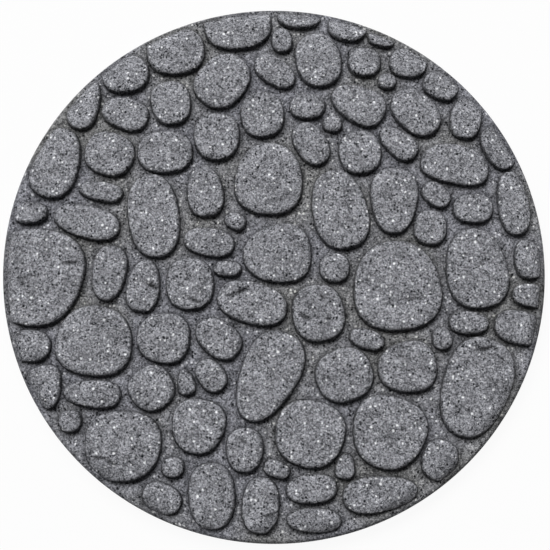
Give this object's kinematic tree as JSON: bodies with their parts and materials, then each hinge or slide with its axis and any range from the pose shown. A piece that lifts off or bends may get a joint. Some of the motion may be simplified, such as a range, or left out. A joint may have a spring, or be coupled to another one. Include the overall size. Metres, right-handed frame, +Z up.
{
  "type": "garden stepping stone",
  "caption": "Round flat garden stepping stone moulded in one piece from bonded rubber crumb, with a raised river-pebble pattern on top and a plain flat underside.",
  "frame": {"origin": "centre of the flat underside", "axes": "+Z up through the pebbled top, the stone lies flat on z = 0; -Y is the near side in the picture, +X its right"},
  "size_m": [0.4571, 0.4572, 0.019],
  "materials": {
    "rubber_crumb": "matt granular bonded crumb"
  },
  "bodies": {
    "root": {"stepping_stone": "rubber_crumb"}
  },
  "joints": []
}
